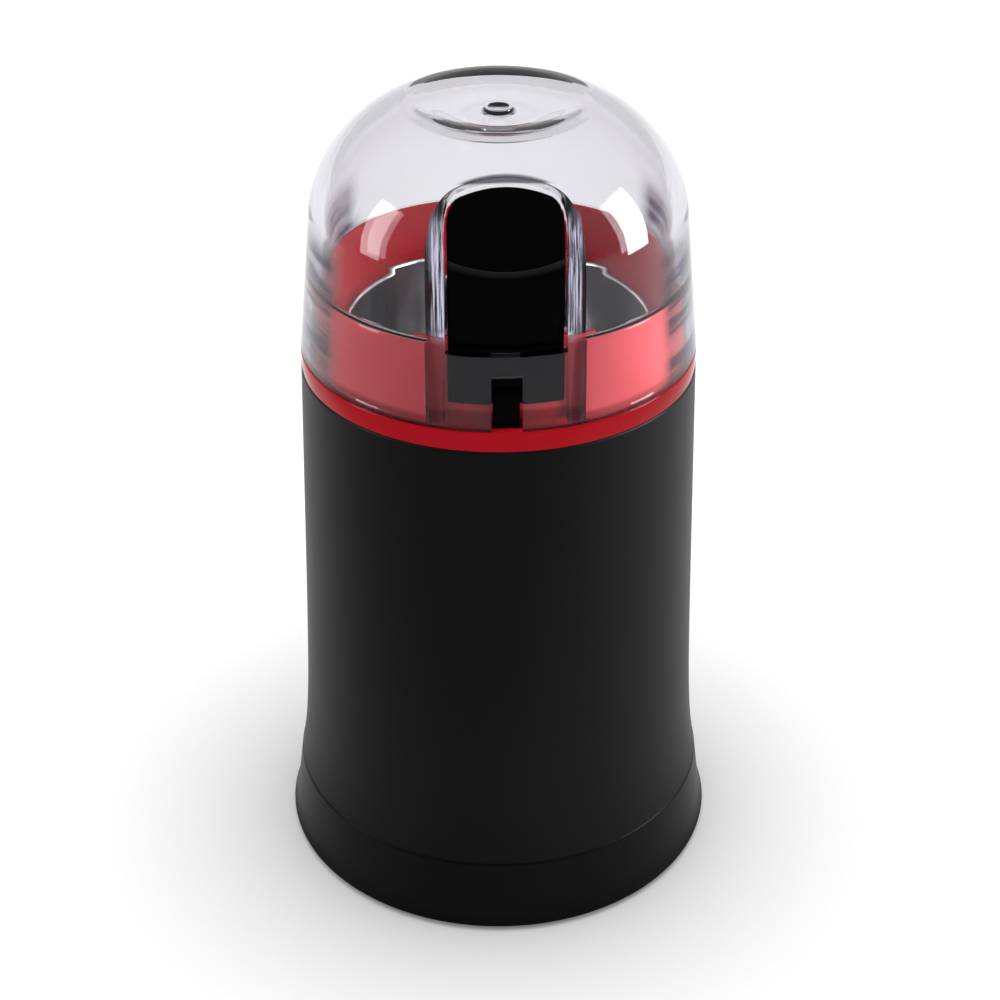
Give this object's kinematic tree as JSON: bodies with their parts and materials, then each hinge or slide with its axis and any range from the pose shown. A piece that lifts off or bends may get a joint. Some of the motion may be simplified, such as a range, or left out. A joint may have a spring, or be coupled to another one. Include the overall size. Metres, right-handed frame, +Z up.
{
  "type": "electric spice grinder",
  "caption": "Upright electric spice grinder: flared black body, coloured collar and neck, steel bowl with blade, press-down button and clear lift-off dome lid.",
  "frame": {"origin": "centre of the circle that the feet stand on, at table height", "axes": "+Z up along the shaft, -Y towards the press button, +X to the right seen from the front"},
  "size_m": [0.0998, 0.0998, 0.1774],
  "materials": {
    "black_plastic": "fine satin moulded",
    "cover_plastic": "plain moulded",
    "rubber": "matt",
    "screw_steel": "turned and plated",
    "black_satin": "satin, slightly glossy",
    "red_gloss": "gloss moulded",
    "bowl_steel": "polished, turned grain",
    "cast_alloy": "as cast",
    "bronze": "sintered, oiled",
    "lamination_steel": "stacked sheet, dull",
    "copper_wire": "enamelled wire",
    "brass_strip": "folded strip",
    "carbon": "pressed carbon",
    "spring_steel": "bright wire",
    "commutator_copper": "turned copper bars",
    "fan_plastic": "natural nylon",
    "blade_steel": "ground stainless",
    "black_gloss": "high gloss",
    "clear_plastic": "clear, polished"
  },
  "bodies": {
    "housing": {"base_skirt": "black_plastic", "bottom_cover": "cover_plastic", "rubber_feet": "rubber", "base_screws": "screw_steel", "cord_inlet_bush": "rubber", "outer_sleeve": "black_satin", "upper_housing": "red_gloss", "collar_screws": "screw_steel", "grinding_bowl": "bowl_steel", "bowl_bush": "screw_steel", "bowl_nut": "screw_steel", "shaft_seal": "rubber", "upper_bridge": "cast_alloy", "lower_bridge": "cover_plastic", "upper_bearing": "bronze", "lower_bearing": "bronze", "stator_core": "lamination_steel", "field_coils": "copper_wire", "motor_screws": "screw_steel", "motor_mounts": "rubber", "brush_holders": "brass_strip", "carbon_brushes": "carbon", "brush_springs": "spring_steel", "microswitch": "cover_plastic", "switch_bracket": "cover_plastic", "switch_screws": "screw_steel"},
    "rotor": {"motor_shaft": "screw_steel", "rotor_core": "lamination_steel", "rotor_windings": "copper_wire", "commutator": "commutator_copper", "cooling_fan": "fan_plastic", "blade_spacer": "screw_steel", "grinding_blade": "blade_steel", "blade_nut": "screw_steel"},
    "button": {"press_button": "black_gloss", "button_spring": "spring_steel"},
    "plunger": {"switch_plunger": "fan_plastic"},
    "lid": {"lid": "clear_plastic"}
  },
  "joints": [
    {"name": "rotor_spin", "type": "hinge", "parent": "housing", "child": "rotor", "pos_m": [0, 0, 0.0528], "axis": [0, 0, 1], "continuous": true},
    {"name": "button_press", "type": "slide", "parent": "housing", "child": "button", "axis": [0, 0, -1], "range_m": [0, 0.003], "stiffness_N_per_m": 400, "deforming": ["button_spring"]},
    {"name": "plunger_press", "type": "slide", "parent": "housing", "child": "plunger", "axis": [0, 0, -1], "range_m": [0, 0.003]},
    {"name": "lid_lift", "type": "slide", "parent": "housing", "child": "lid", "axis": [0, 0, 1], "range_m": [0, 0.06]}
  ],
  "couplings": [
    {"joint": "plunger_press", "follows": "button_press", "ratio": 1}
  ]
}
